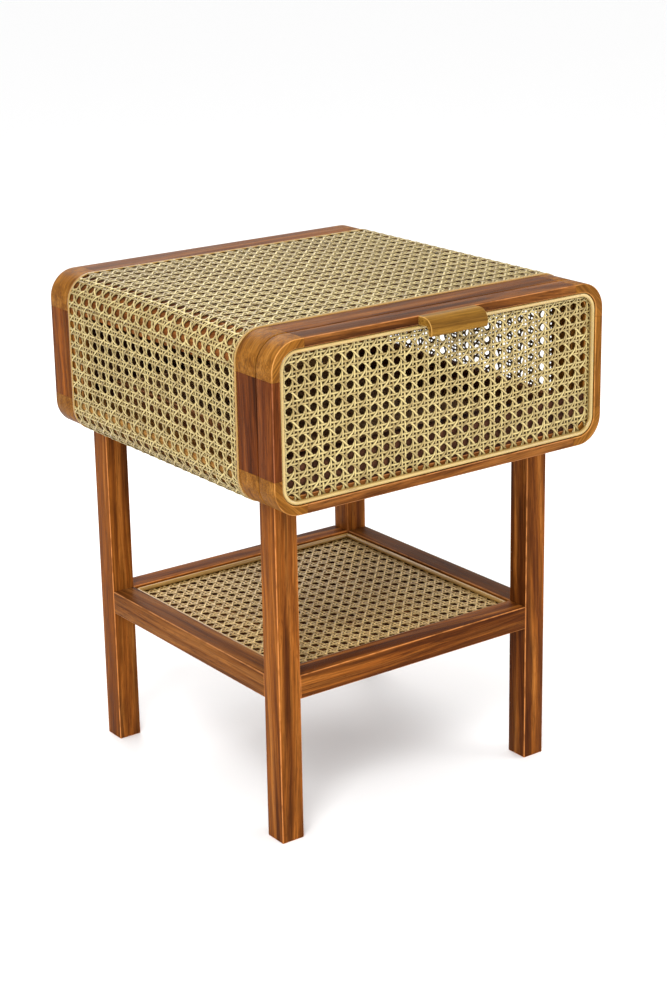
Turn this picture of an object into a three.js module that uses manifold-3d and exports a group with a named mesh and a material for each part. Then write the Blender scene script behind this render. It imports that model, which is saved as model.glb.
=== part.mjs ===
// Side table with one drawer: a rounded tube of a case, wrapped in cane webbing between two
// wooden rings, on four square legs that also hold a framed cane shelf.
// Millimetres. +X right, +Y back, +Z up. The origin is on the floor, under the middle of the
// overall box, which runs from the front of the drawer pull to the back of the back ring.
import * as THREE from 'three';
import { mergeVertices } from 'three/addons/utils/BufferGeometryUtils.js';
import Module from 'manifold-3d';

const wasm = await Module();
wasm.setup();

// Overall sizes
const BODY_WIDTH = 440;
const BODY_DEPTH = 440;          // drawer ring's front face to back ring's back face
const BODY_HEIGHT = 182;
const TOP_HEIGHT = 570;          // top of the wooden rings above the floor
const PULL_PROJECTION = 22;      // how far the pull stands out of the drawer front

// Rings
const CORNER_RADIUS = 31;
const CORNER_SPAN = 40;          // each curved ring piece reaches this far along both sides
const RING_THICKNESS = 18;
const DRAWER_RING_DEPTH = 28;
const SEAM = 1;                  // gap between the closed drawer and the case
const FRONT_RING_DEPTH = 34;
const BACK_RING_DEPTH = 40;
const FACE_WIDTH = 10;           // plain wood left showing round a rebate
const REBATE_DEPTH = 8;
const ARC_STEPS = 8;             // facets in a quarter circle

// Cane, beads and boards
const CANE = 2.5;
const BEAD = 5;
const TRIM_WIDTH = 3;
const PROUD = 1;                 // the wrap stands this far out of the rings
const WRAP = 2.2;                // thickness of the wrap
const GAP = 0.3;
const TOP_BOARD = 16;
const BOTTOM_BOARD = 12;
const BACK_BOARD = 6;
const TONGUE = 20;                // how far the back ring's sides reach forward behind the wrap

// Legs and shelf
const LEG = 28;
const LEG_REACH = 186;           // body's middle to the outer face of a leg, across
const LEG_REACH_DEEP = 183.5;    // case's middle to the outer face of a leg, front to back
const SHELF_TOP = 189;
const SHELF_RAIL = 27;
const SHELF_PANEL = 8;
const SHELF_RECESS = 2;          // the bead's top below the rails' top
const SHELF_BEAD_WIDTH = 6;
const SHELF_BEAD_HEIGHT = 5.5;

// Drawer box
const BOX_HALF_WIDTH = 176;
const BOX_WALL = 12;
const BOX_LOW = 407;
const BOX_HIGH = 447;
const BOX_BACK = 170;
const BOX_FLOOR_LOW = 410;
const BOX_FLOOR = 6;
const RUNNER_WIDTH = 18;
const STOP_LENGTH = 120;
const STOP_DEPTH = 12;
const STOP_HEIGHT = 25;

// Pull
const PULL_WIDTH = 75;
const PULL_THICKNESS = 9.5;
const PULL_LIP = 6;
const PULL_DROP = 19;
const PULL_RADIUS = 13;
const PULL_INNER_RADIUS = 4;

// Worked out from the sizes above
const HALF_WIDTH = BODY_WIDTH / 2;
const BODY_LOW = TOP_HEIGHT - BODY_HEIGHT;
const Y_BACK = (BODY_DEPTH + PULL_PROJECTION) / 2;
const Y_FRONT = Y_BACK - BODY_DEPTH;
const Y_DRAWER_BACK = Y_FRONT + DRAWER_RING_DEPTH;
const Y_CASE_FRONT = Y_DRAWER_BACK + SEAM;
const Y_WRAP_FRONT = Y_CASE_FRONT + FRONT_RING_DEPTH;
const Y_WRAP_BACK = Y_BACK - BACK_RING_DEPTH;
const Y_CASE_MIDDLE = (Y_CASE_FRONT + Y_BACK) / 2;
const ARC_X = HALF_WIDTH - CORNER_RADIUS;
const ARC_LOW = BODY_LOW + CORNER_RADIUS;
const ARC_HIGH = TOP_HEIGHT - CORNER_RADIUS;
const RAIL_INSET = WRAP - PROUD + GAP;
const BOARD_HALF_WIDTH = HALF_WIDTH - CORNER_SPAN;

const materials = {
  teak: new THREE.MeshStandardMaterial({ color: 0x8a4a20, roughness: 0.45, metalness: 0 }),
  teak_light: new THREE.MeshStandardMaterial({ color: 0xa5692f, roughness: 0.45, metalness: 0 }),
  teak_dark: new THREE.MeshStandardMaterial({ color: 0x5e2c17, roughness: 0.5, metalness: 0 }),
  board: new THREE.MeshStandardMaterial({ color: 0x4a2c1a, roughness: 0.7, metalness: 0 }),
  cane: new THREE.MeshStandardMaterial({ color: 0xd3bd83, roughness: 0.6, metalness: 0 }),
  rattan: new THREE.MeshStandardMaterial({ color: 0xc79a55, roughness: 0.5, metalness: 0 }),
};

const group = new THREE.Group();

// The three ways a flat outline is pushed out: along +X, from back to front, and along +Z.
const ALONG_X = new THREE.Matrix4().makeBasis(
  new THREE.Vector3(0, 1, 0), new THREE.Vector3(0, 0, 1), new THREE.Vector3(1, 0, 0));
const ALONG_Y = new THREE.Matrix4().makeBasis(
  new THREE.Vector3(1, 0, 0), new THREE.Vector3(0, 0, 1), new THREE.Vector3(0, -1, 0));

function add(name, geometry, material) {
  const mesh = new THREE.Mesh(geometry, materials[material].clone());
  mesh.name = name;
  group.add(mesh);
  return mesh;
}

function addBox(name, material, x, y, z) {
  const geometry = new THREE.BoxGeometry(x[1] - x[0], y[1] - y[0], z[1] - z[0]);
  const mesh = add(name, geometry, material);
  mesh.position.set((x[0] + x[1]) / 2, (y[0] + y[1]) / 2, (z[0] + z[1]) / 2);
  return mesh;
}

function extrude(points, depth, holePoints) {
  const shape = new THREE.Shape(points);
  if (holePoints) shape.holes.push(new THREE.Path(holePoints));
  return new THREE.ExtrudeGeometry(shape, { depth, bevelEnabled: false });
}

// An outline in X and Z, solid between the two Y values.
function solidAlongY(points, yLow, yHigh, holePoints) {
  const geometry = extrude(points, yHigh - yLow, holePoints);
  geometry.applyMatrix4(ALONG_Y);
  geometry.translate(0, yHigh, 0);
  return geometry;
}

// Points on a circle from one angle to another, in degrees.
function arc(cx, cz, radius, from, to) {
  const points = [];
  for (let i = 0; i <= ARC_STEPS; i += 1) {
    const angle = THREE.MathUtils.degToRad(from + ((to - from) * i) / ARC_STEPS);
    points.push(new THREE.Vector2(cx + radius * Math.cos(angle), cz + radius * Math.sin(angle)));
  }
  return points;
}

// The body's rounded outline, drawn in by inset.
function bodyOutline(inset) {
  const radius = CORNER_RADIUS - inset;
  return [
    ...arc(ARC_X, ARC_HIGH, radius, 0, 90),
    ...arc(-ARC_X, ARC_HIGH, radius, 90, 180),
    ...arc(-ARC_X, ARC_LOW, radius, 180, 270),
    ...arc(ARC_X, ARC_LOW, radius, 270, 360),
  ];
}

// Moves an outline drawn for the top right corner to the corner on the given sides.
function toCorner(points, side, level) {
  const middle = (BODY_LOW + TOP_HEIGHT) / 2;
  return points.map((p) => new THREE.Vector2(side * p.x, middle + level * (p.y - middle)));
}

function solid(geometry) {
  const plain = geometry.clone();
  plain.deleteAttribute('normal');
  plain.deleteAttribute('uv');
  const merged = mergeVertices(plain, 1e-4);
  return new wasm.Manifold(new wasm.Mesh({
    numProp: 3,
    vertProperties: new Float32Array(merged.attributes.position.array),
    triVerts: new Uint32Array(merged.index.array),
  }));
}

function toGeometry(body) {
  const mesh = body.getMesh();
  const result = new THREE.BufferGeometry();
  result.setAttribute('position', new THREE.BufferAttribute(new Float32Array(mesh.vertProperties), 3));
  result.setIndex(new THREE.BufferAttribute(new Uint32Array(mesh.triVerts), 1));
  return result;
}

function cut(geometry, tool) {
  return toGeometry(solid(geometry).subtract(solid(tool)));
}

function join(geometry, other) {
  return toGeometry(solid(geometry).add(solid(other)));
}

// A curved corner piece: the band between two insets, as far as span along both sides.
function cornerBand(insetOut, insetIn, span) {
  const outer = CORNER_RADIUS - insetOut;
  const inner = CORNER_RADIUS - insetIn;
  const endX = HALF_WIDTH - span;
  const endZ = TOP_HEIGHT - span;
  return [
    new THREE.Vector2(ARC_X + outer, endZ),
    ...arc(ARC_X, ARC_HIGH, outer, 0, 90),
    new THREE.Vector2(endX, ARC_HIGH + outer),
    new THREE.Vector2(endX, ARC_HIGH + inner),
    ...arc(ARC_X, ARC_HIGH, inner, 90, 0),
    new THREE.Vector2(ARC_X + inner, endZ),
  ];
}

function rectangle(x, z) {
  return [
    new THREE.Vector2(x[0], z[0]),
    new THREE.Vector2(x[1], z[0]),
    new THREE.Vector2(x[1], z[1]),
    new THREE.Vector2(x[0], z[1]),
  ];
}

// A ring of four straight and four curved pieces, butted end to end. A rebate for cane and
// bead is cut round the inner edge of its front or back face. A tongue on each upright reaches
// forward behind the wrap.
function addRing(prefix, yLow, yHigh, rebate, tongue = 0) {
  const over = 1;
  const cutFrom = rebate === 'front' ? yLow - over : yHigh - REBATE_DEPTH;
  const cutTo = rebate === 'front' ? yLow + REBATE_DEPTH : yHigh + over;
  const piece = (name, outline, rebateOutline, material, tongueOutline) => {
    let geometry = solidAlongY(outline, yLow, yHigh);
    if (rebate) geometry = cut(geometry, solidAlongY(rebateOutline, cutFrom, cutTo));
    if (tongueOutline) geometry = join(geometry, solidAlongY(tongueOutline, yLow - tongue, yLow + over));
    add(`${prefix}_${name}`, geometry, material);
  };
  const inner = RING_THICKNESS + over;
  const corner = cornerBand(0, RING_THICKNESS, CORNER_SPAN);
  const cornerCut = cornerBand(FACE_WIDTH, inner, CORNER_SPAN + over);
  for (const [side, across] of [[-1, 'left'], [1, 'right']]) {
    for (const [level, height] of [[1, 'top'], [-1, 'bottom']]) {
      piece(`corner_${height}_${across}`, toCorner(corner, side, level),
        toCorner(cornerCut, side, level), 'teak_light');
    }
    const upright = (out, into, reach) => toCorner(rectangle(
      [HALF_WIDTH - into, HALF_WIDTH - out],
      [BODY_LOW + CORNER_SPAN - reach, TOP_HEIGHT - CORNER_SPAN + reach]), side, 1);
    piece(across, upright(0, RING_THICKNESS, 0), upright(FACE_WIDTH, inner, over), 'teak_dark',
      tongue ? upright(RAIL_INSET, RING_THICKNESS, 0) : null);
  }
  for (const [level, height] of [[1, 'top'], [-1, 'bottom']]) {
    const bar = (out, into, reach) => toCorner(rectangle(
      [-BOARD_HALF_WIDTH - reach, BOARD_HALF_WIDTH + reach],
      [TOP_HEIGHT - into, TOP_HEIGHT - out]), 1, level);
    piece(height, bar(0, RING_THICKNESS, 0), bar(FACE_WIDTH, inner, over), 'teak');
  }
}

// Cane and its round bead, laid in a ring's rebate.
function addCaneAndBead(prefix, floor, direction) {
  const inset = FACE_WIDTH + GAP;
  const caneEnd = floor + direction * CANE;
  const beadEnd = caneEnd + direction * BEAD;
  const between = (a, b) => [Math.min(a, b), Math.max(a, b)];
  add(`${prefix}_cane`, solidAlongY(bodyOutline(inset), ...between(floor, caneEnd)), 'cane');
  add(`${prefix}_bead`, solidAlongY(
    bodyOutline(inset), ...between(caneEnd, beadEnd), bodyOutline(inset + BEAD)), 'rattan');
}

// The long corner rails that carry the wrap's curves, and the boards between them.
function addCaseFrame() {
  const outer = CORNER_RADIUS - RAIL_INSET;
  const rail = [
    new THREE.Vector2(HALF_WIDTH - CORNER_SPAN, TOP_HEIGHT - CORNER_SPAN),
    new THREE.Vector2(ARC_X + outer, TOP_HEIGHT - CORNER_SPAN),
    ...arc(ARC_X, ARC_HIGH, outer, 0, 90),
    new THREE.Vector2(HALF_WIDTH - CORNER_SPAN, ARC_HIGH + outer),
  ];
  for (const [side, across] of [[-1, 'left'], [1, 'right']]) {
    for (const [level, height] of [[1, 'top'], [-1, 'bottom']]) {
      const outline = toCorner(rail, side, level);
      add(`corner_rail_${height}_${across}`, solidAlongY(outline, Y_WRAP_FRONT, Y_WRAP_BACK), 'teak');
    }
  }
  const boardTop = TOP_HEIGHT - RAIL_INSET;
  const across = [-BOARD_HALF_WIDTH, BOARD_HALF_WIDTH];
  const along = [Y_WRAP_FRONT, Y_WRAP_BACK];
  addBox('top_board', 'board', across, along, [boardTop - TOP_BOARD, boardTop]);
  addBox('bottom_board', 'board', across, along, [BODY_LOW, BODY_LOW + BOTTOM_BOARD]);
}

// The thin board that closes the back, inside the back ring and in front of its cane.
function addBackBoard() {
  const yHigh = Y_BACK - REBATE_DEPTH - GAP;
  add('back_board', solidAlongY(bodyOutline(RING_THICKNESS + GAP), yHigh - BACK_BOARD, yHigh), 'board');
}

// The cane wrap: over the top with both upper curves, then down each side and round the lower
// curve. The thin rattan trims close its edges against the rings.
function addWrap() {
  const out = CORNER_RADIUS + PROUD;
  const into = out - WRAP;
  const along = [Y_WRAP_FRONT + TRIM_WIDTH, Y_WRAP_BACK - TRIM_WIDTH];
  const overTop = (radius) => [
    ...arc(ARC_X, ARC_HIGH, radius, 0, 90),
    ...arc(-ARC_X, ARC_HIGH, radius, 90, 180),
  ];
  add('cane_over_top', solidAlongY([...overTop(out), ...overTop(into).reverse()], ...along), 'cane');
  const sideAndCurl = [
    new THREE.Vector2(ARC_X + out, ARC_LOW),
    ...arc(ARC_X, ARC_HIGH, out, 0, 90),
    ...arc(ARC_X, ARC_HIGH, into, 90, 0),
    new THREE.Vector2(ARC_X + into, ARC_LOW),
  ];
  for (const [side, across] of [[-1, 'left'], [1, 'right']]) {
    add(`cane_side_${across}`, solidAlongY(toCorner(sideAndCurl, side, -1), ...along), 'cane');
  }
  const allRound = (radius) => [
    ...arc(ARC_X, ARC_LOW, radius, -90, 0),
    ...overTop(radius),
    ...arc(-ARC_X, ARC_LOW, radius, 180, 270),
  ];
  const trim = [...allRound(out), ...allRound(into).reverse()];
  add('trim_front', solidAlongY(trim, Y_WRAP_FRONT, Y_WRAP_FRONT + TRIM_WIDTH), 'rattan');
  add('trim_back', solidAlongY(trim, Y_WRAP_BACK - TRIM_WIDTH, Y_WRAP_BACK), 'rattan');
}

// Four legs, and the shelf between them: rails, a backing panel, cane and a bead.
function addLegsAndShelf() {
  const inner = LEG_REACH - LEG;
  const yOut = [Y_CASE_MIDDLE - LEG_REACH_DEEP, Y_CASE_MIDDLE + LEG_REACH_DEEP];
  const yIn = [yOut[0] + LEG, yOut[1] - LEG];
  const ends = [['front', [yOut[0], yIn[0]]], ['back', [yIn[1], yOut[1]]]];
  const sides = [['left', [-LEG_REACH, -inner]], ['right', [inner, LEG_REACH]]];
  const railLevel = [SHELF_TOP - SHELF_RAIL, SHELF_TOP];
  for (const [end, y] of ends) {
    for (const [side, x] of sides) addBox(`leg_${end}_${side}`, 'teak', x, y, [0, BODY_LOW]);
    addBox(`shelf_rail_${end}`, 'teak', [-inner, inner], y, railLevel);
  }
  for (const [side, x] of sides) addBox(`shelf_rail_${side}`, 'teak_dark', x, yIn, railLevel);

  const beadTop = SHELF_TOP - SHELF_RECESS;
  const beadLow = beadTop - SHELF_BEAD_HEIGHT;
  const caneLow = beadLow - CANE;
  addBox('shelf_panel', 'board', [-inner, inner], yIn, [caneLow - SHELF_PANEL, caneLow]);
  addBox('shelf_cane', 'cane', [-inner, inner], yIn, [caneLow, beadLow]);
  const bead = extrude(
    rectangle([-inner, inner], yIn), SHELF_BEAD_HEIGHT,
    rectangle([SHELF_BEAD_WIDTH - inner, inner - SHELF_BEAD_WIDTH],
      [yIn[0] + SHELF_BEAD_WIDTH, yIn[1] - SHELF_BEAD_WIDTH]));
  add('shelf_bead', bead, 'rattan').position.z = beadLow;
}

// The drawer's low box, behind its ring and cane front.
function addDrawerBox() {
  const wide = RING_THICKNESS + GAP;
  const low = CORNER_RADIUS - wide;
  const frontBoard = [
    new THREE.Vector2(ARC_X + low, BOX_HIGH),
    new THREE.Vector2(-ARC_X - low, BOX_HIGH),
    ...arc(-ARC_X, ARC_LOW, low, 180, 270),
    ...arc(ARC_X, ARC_LOW, low, 270, 360),
  ];
  const yBoard = Y_FRONT + REBATE_DEPTH + GAP;
  const yBox = yBoard + BOX_WALL;
  const inner = BOX_HALF_WIDTH - BOX_WALL;
  add('drawer_box_front', solidAlongY(frontBoard, yBoard, yBox), 'board');
  const level = [BOX_LOW, BOX_HIGH];
  addBox('drawer_side_left', 'teak', [-BOX_HALF_WIDTH, -inner], [yBox, BOX_BACK], level);
  addBox('drawer_side_right', 'teak', [inner, BOX_HALF_WIDTH], [yBox, BOX_BACK], level);
  addBox('drawer_back', 'teak', [-inner, inner], [BOX_BACK - BOX_WALL, BOX_BACK], level);
  addBox('drawer_bottom', 'board', [-inner, inner], [yBox, BOX_BACK - BOX_WALL],
    [BOX_FLOOR_LOW, BOX_FLOOR_LOW + BOX_FLOOR]);
}

// What the drawer slides on and stops against, fixed to the case's bottom board.
function addRunners() {
  const floor = BODY_LOW + BOTTOM_BOARD;
  const outer = BOARD_HALF_WIDTH - 2;
  const along = [Y_WRAP_FRONT, Y_WRAP_BACK];
  const level = [floor, BOX_LOW - GAP];
  addBox('runner_left', 'teak', [-outer, RUNNER_WIDTH - outer], along, level);
  addBox('runner_right', 'teak', [outer - RUNNER_WIDTH, outer], along, level);
  addBox('drawer_stop', 'teak', [-STOP_LENGTH / 2, STOP_LENGTH / 2],
    [BOX_BACK + GAP, BOX_BACK + GAP + STOP_DEPTH], [floor, floor + STOP_HEIGHT]);
}

// The pull: a bar bent down into a lip at its front, flush with the top of the drawer ring.
function addPull() {
  const front = Y_FRONT - PULL_PROJECTION;
  const low = TOP_HEIGHT - PULL_DROP;
  const under = TOP_HEIGHT - PULL_THICKNESS;
  const lipRadius = PULL_LIP / 2;
  const profile = [
    new THREE.Vector2(Y_FRONT, TOP_HEIGHT),
    ...arc(front + PULL_RADIUS, TOP_HEIGHT - PULL_RADIUS, PULL_RADIUS, 90, 180),
    ...arc(front + lipRadius, low + lipRadius, lipRadius, 180, 360),
    ...arc(front + PULL_LIP + PULL_INNER_RADIUS, under - PULL_INNER_RADIUS,
      PULL_INNER_RADIUS, 180, 90),
    new THREE.Vector2(Y_FRONT, under),
  ];
  const geometry = extrude(profile, PULL_WIDTH);
  geometry.applyMatrix4(ALONG_X);
  add('drawer_pull', geometry, 'teak_light').position.x = -PULL_WIDTH / 2;
}

addLegsAndShelf();
addCaseFrame();
addRing('front_ring', Y_CASE_FRONT, Y_WRAP_FRONT, null);
addRing('back_ring', Y_WRAP_BACK, Y_BACK, 'back', TONGUE);
addWrap();
addCaneAndBead('back', Y_BACK - REBATE_DEPTH, 1);
addBackBoard();
addRunners();
addRing('drawer_ring', Y_FRONT, Y_DRAWER_BACK, 'front');
addCaneAndBead('drawer', Y_FRONT + REBATE_DEPTH, -1);
addDrawerBox();
addPull();

export default group;
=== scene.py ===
"""Side table with one drawer: rounded wooden rings, open cane weaving, square legs, cane shelf.

Metres, with +X right, +Y back and +Z up. Wooden pieces are cross-sections carried along a line,
with eased edges. Every cane sheet is woven from separate strands.
"""
import math

import bpy
import numpy as np
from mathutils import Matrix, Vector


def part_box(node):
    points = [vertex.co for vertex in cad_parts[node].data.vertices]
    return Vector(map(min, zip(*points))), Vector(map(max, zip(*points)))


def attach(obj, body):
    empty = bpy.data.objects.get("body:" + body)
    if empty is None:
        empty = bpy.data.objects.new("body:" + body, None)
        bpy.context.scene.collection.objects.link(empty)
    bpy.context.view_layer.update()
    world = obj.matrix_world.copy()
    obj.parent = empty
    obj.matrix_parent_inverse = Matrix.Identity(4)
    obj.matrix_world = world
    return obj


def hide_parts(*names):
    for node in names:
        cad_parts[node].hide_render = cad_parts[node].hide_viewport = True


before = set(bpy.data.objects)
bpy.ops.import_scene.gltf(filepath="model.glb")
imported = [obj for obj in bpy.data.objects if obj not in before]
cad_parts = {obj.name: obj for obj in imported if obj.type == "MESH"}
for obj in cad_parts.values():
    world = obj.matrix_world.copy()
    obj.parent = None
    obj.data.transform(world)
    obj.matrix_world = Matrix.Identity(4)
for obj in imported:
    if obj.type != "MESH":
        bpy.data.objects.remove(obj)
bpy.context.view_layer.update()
random = np.random.default_rng(11)

# Sizes read from the frame
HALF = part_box("drawer_ring_right")[1].x
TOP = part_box("drawer_ring_top")[1].z
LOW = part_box("drawer_ring_bottom")[0].z
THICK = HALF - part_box("drawer_ring_right")[0].x
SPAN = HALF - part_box("drawer_ring_top")[1].x
RADIUS = 0.031
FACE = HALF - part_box("drawer_bead")[1].x - 0.0003
REBATE = 0.008
EASE = 0.0004                    # each ring stops this much short of the drawer's seam

# Weave
PAIR = 0.147                     # from a pair's middle to each of its strands, in hole spacings
STRAND_WIDTH = 0.0023
DIAGONAL_WIDTH = 0.0025
STRAND_THICK = 0.0009
RISE = 0.00045                   # how far straight strands bend over each other
DIAGONAL_RISE = 0.0009

# The body's outline, seen from the front: distance round it, and for each the middle of the
# corner circle that is being followed and the direction faced, in degrees.
FLAT = TOP - LOW - 2 * RADIUS
WIDE = 2 * (HALF - RADIUS)
BEND = math.pi * RADIUS / 2
ROUND = np.cumsum([-FLAT / 2 - BEND, BEND, FLAT, BEND, WIDE, BEND, FLAT, BEND, WIDE])
FOLLOW = np.concatenate([[ROUND[0] - WIDE], ROUND])
FOLLOW_X = np.array([-1, 1, 1, 1, 1, -1, -1, -1, -1, 1]) * (HALF - RADIUS)
FOLLOW_Z = np.array([LOW + RADIUS] * 3 + [TOP - RADIUS] * 4 + [LOW + RADIUS] * 3)
FOLLOW_TURN = np.array([-90, -90, 0, 0, 90, 90, 180, 180, 270, 270])
TOP_MIDDLE = (ROUND[3] + ROUND[4]) / 2


# ---------------------------------------------------------------- shapes

def outline_at(s, inset):
    """Points s metres round the outline, drawn in by inset: the corner circle's middle slides
    along the straight runs, and the point lies on the circle round it. Gives x and z."""
    turn = np.radians(np.interp(s, FOLLOW, FOLLOW_TURN))
    radius = RADIUS - inset
    x = np.interp(s, FOLLOW, FOLLOW_X) + radius * np.cos(turn)
    z = np.interp(s, FOLLOW, FOLLOW_Z) + radius * np.sin(turn)
    return x, z


def outline_path(stops, inset, y):
    """Points round the outline at one depth, and the way out of the outline at each."""
    step = 0.01
    x, z = outline_at(stops, inset)
    path = np.stack([x, np.full(len(x), y), z], 1)
    x2, z2 = outline_at(stops, inset - step)
    return path, (np.stack([x2, path[:, 1], z2], 1) - path) / step


def eased(corners, radius, inset=0.0, steps=4):
    """A right-angled outline drawn in by inset, with each corner turned into an arc. Each corner
    moves along the sum of its two edges' inward normals. Gives points, and 1 at mid-arc."""
    corners = np.asarray(corners, float)
    after = np.roll(corners, -1, 0) - corners
    after /= np.linalg.norm(after, axis=1, keepdims=True)
    before = np.roll(after, 1, 0)
    into = lambda d: np.stack([-d[:, 1], d[:, 0]], 1)
    n1, n2 = into(before), into(after)
    left = np.sign(before[:, 0] * after[:, 1] - before[:, 1] * after[:, 0])[:, None, None]
    moved = corners + inset * (n1 + n2)
    r = max(radius - inset, radius * 0.15)
    middle = moved[:, None] + left * r * (n1 + n2)[:, None]
    angle = np.linspace(0, math.pi / 2, steps + 1)[None, :, None]
    points = middle - left * r * (n1[:, None] * np.cos(angle) + n2[:, None] * np.sin(angle))
    shine = np.broadcast_to(np.sin(2 * angle[..., 0]), points.shape[:2])
    return points.reshape(-1, 2), shine.reshape(-1)


def ends_eased(length, radius, inner):
    """Distances along a piece and how far its section is drawn in there: a quarter circle at
    each end, and plain in between."""
    turn = np.linspace(0, math.pi / 2, 4)
    near = radius * (1 - np.cos(turn))
    draw = radius * (1 - np.sin(turn))
    s = np.concatenate([near, inner, length - near[::-1]])
    return s, np.concatenate([draw, np.zeros(len(inner)), draw[::-1]])


def grid_faces(rows, columns, loop=False):
    """Faces of a grid of points that is closed round its columns. A loop is closed along its
    rows too, and anything else is capped at both ends."""
    i, j = np.meshgrid(np.arange(rows if loop else rows - 1), np.arange(columns), indexing="ij")
    i2, j2 = (i + 1) % rows, (j + 1) % columns
    quads = np.stack([i * columns + j, i * columns + j2, i2 * columns + j2, i2 * columns + j], -1)
    faces = [quads.reshape(-1, 4)]
    if not loop:
        first = np.arange(columns)[None, ::-1]
        faces += [first, (rows - 1) * columns + np.arange(columns)[None]]
    return faces


def mesh_of(name, points, faces):
    """A mesh from points and groups of faces. It is turned right side out: the sum over faces
    of corner, dotted with the cross of the next two corners, is six times the volume."""
    volume = 0.0
    for group in faces:
        for k in range(1, group.shape[1] - 1):
            a, b, c = points[group[:, 0]], points[group[:, k]], points[group[:, k + 1]]
            volume += np.einsum("ij,ij->", a, np.cross(b, c))
    if volume < 0:
        faces = [group[:, ::-1] for group in faces]
    mesh = bpy.data.meshes.new(name)
    mesh.vertices.add(len(points))
    mesh.vertices.foreach_set("co", points.astype(np.float32).ravel())
    corners = np.concatenate([group.ravel() for group in faces]).astype(np.int32)
    sizes = np.concatenate([np.full(len(group), group.shape[1]) for group in faces])
    starts = np.concatenate([[0], np.cumsum(sizes)[:-1]]).astype(np.int32)
    mesh.loops.add(len(corners))
    mesh.loops.foreach_set("vertex_index", corners)
    mesh.polygons.add(len(starts))
    mesh.polygons.foreach_set("loop_start", starts)
    mesh.polygons.foreach_set("use_smooth", sizes == 4)
    mesh.update(calc_edges=True)
    return mesh


def add_piece(name, points, faces, body, material, slot, nodes, **attributes):
    """A finished piece that rides on a body and stands for CAD nodes. Attributes are stored at
    the points: numbers, or threes of numbers."""
    mesh = mesh_of(name, points, faces)
    for key, values in attributes.items():
        kind, field = ("FLOAT_VECTOR", "vector") if values.ndim == 2 else ("FLOAT", "value")
        stored = mesh.attributes.new(key, kind, "POINT")
        stored.data.foreach_set(field, values.astype(np.float32).ravel())
    mesh.materials.append(material)
    piece = bpy.data.objects.new(name, mesh)
    bpy.context.scene.collection.objects.link(piece)
    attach(piece, body)
    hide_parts(*nodes)
    return piece


def grain_of(points, along, tilt=2.0):
    """Where each point lies in its board: distance along the grain, then two across. The grain
    runs a degree or two off the piece, and every piece is cut from another part of the tree."""
    along = np.asarray(along, float) / np.linalg.norm(along)
    off = np.radians(random.uniform(-tilt, tilt, 3))
    along = along + np.cross(off, along)
    side = np.cross(along, [0.31, 0.55, 0.78])
    side /= np.linalg.norm(side)
    basis = np.stack([along, side, np.cross(along, side)])
    return points @ basis.T + random.uniform(0.5, 3.0, 3)


# ---------------------------------------------------------------- finishes

def add_node(tree, kind, inputs=None, **settings):
    """A node with its settings, and its inputs filled with values or linked to sockets."""
    made = tree.nodes.new(kind)
    for key, value in settings.items():
        setattr(made, key, value)
    for key, value in (inputs or {}).items():
        if isinstance(value, bpy.types.NodeSocket):
            tree.links.new(value, made.inputs[key])
        else:
            made.inputs[key].default_value = value
    return made


def maths(tree, operation, a, b=0.0):
    return add_node(tree, "ShaderNodeMath", {0: a, 1: b}, operation=operation).outputs[0]


def stretch(tree, place, amounts):
    """Place multiplied by three amounts, which sets a pattern's size each way."""
    made = add_node(tree, "ShaderNodeVectorMath", {0: place, 1: amounts}, operation="MULTIPLY")
    return made.outputs[0]


def noise(tree, place, detail=2.0, rough=0.5, distort=0.0):
    values = {"Vector": place, "Scale": 1.0, "Detail": detail, "Roughness": rough}
    values["Distortion"] = distort
    return add_node(tree, "ShaderNodeTexNoise", values).outputs["Fac"]


def between(tree, value, low, high, to_low=0.0, to_high=1.0):
    """The value carried from one range to another along a smooth step."""
    values = {0: value, 1: low, 2: high, 3: to_low, 4: to_high}
    made = add_node(tree, "ShaderNodeMapRange", values, interpolation_type="SMOOTHSTEP")
    return made.outputs[0]


def ramp(tree, value, stops):
    """Colours blended along stops of position and colour."""
    made = add_node(tree, "ShaderNodeValToRGB", {0: value})
    band = made.color_ramp
    while len(band.elements) < len(stops):
        band.elements.new(0.5)
    for element, (position, colour) in zip(band.elements, stops):
        element.position = position
        element.color = (*colour, 1)
    return made.outputs[0]


def blended(tree, amount, a, b, mode="MIX"):
    """Colour a with an amount of colour b mixed or multiplied in."""
    made = add_node(tree, "ShaderNodeMix", data_type="RGBA", blend_type=mode)
    for index, value in ((0, amount), (6, a), (7, b)):
        if isinstance(value, bpy.types.NodeSocket):
            tree.links.new(value, made.inputs[index])
        else:
            made.inputs[index].default_value = value if index == 0 else (*value, 1)
    return made.outputs[2]


def srgb(red, green, blue):
    """Screen values from 0 to 255 as linear light: the standard curve's two branches."""
    c = np.array([red, green, blue]) / 255
    return tuple(float(v) for v in np.where(c < 0.04045, c / 12.92, ((c + 0.055) / 1.055) ** 2.4))


def new_group(name, inputs, outputs):
    """An empty shader group with its sockets, and its nodes for what goes in and comes out."""
    group = bpy.data.node_groups.new(name, "ShaderNodeTree")
    for label, kind, value in inputs:
        socket = group.interface.new_socket(label, in_out="INPUT", socket_type=kind)
        if value is not None:
            socket.default_value = value
    for label in outputs:
        group.interface.new_socket(label, in_out="OUTPUT", socket_type="NodeSocketFloat")
    return group, group.nodes.new("NodeGroupInput"), group.nodes.new("NodeGroupOutput")


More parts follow.
